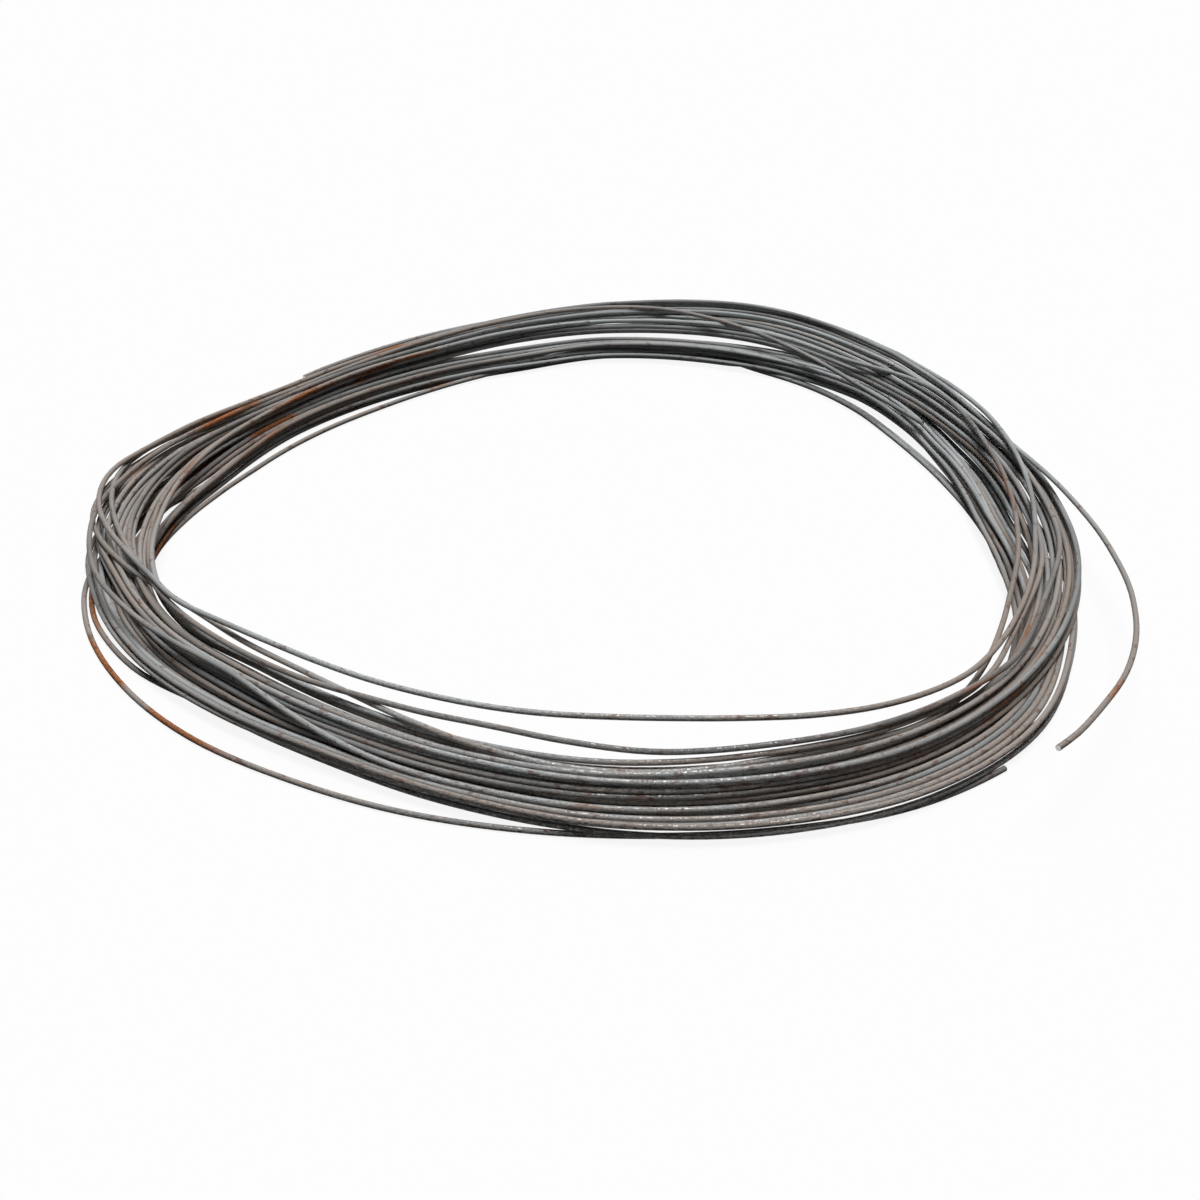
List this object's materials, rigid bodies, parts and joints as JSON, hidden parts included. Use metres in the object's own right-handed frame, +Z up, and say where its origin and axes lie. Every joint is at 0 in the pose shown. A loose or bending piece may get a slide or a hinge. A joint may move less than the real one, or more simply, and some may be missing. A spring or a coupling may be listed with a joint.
{
  "type": "coil of wire",
  "caption": "Loose round coil of bare steel wire lying flat, with a loose outer turn on the floor and one end springing free; stock for tying, fencing and bending.",
  "frame": {"origin": "centre of the coil's bore at the level of the floor that the coil lies on", "axes": "+Z up along the coil's axis, -Y towards the side that the picture shows in front, +X to its right"},
  "size_m": [0.3809, 0.375, 0.0304],
  "materials": {
    "steel_wire": "bare drawn steel, dull grey, finely pitted, with patches and specks of rust"
  },
  "bodies": {
    "root": {"wire_coil": "steel_wire", "loose_turn": "steel_wire", "free_end": "steel_wire"}
  },
  "joints": []
}
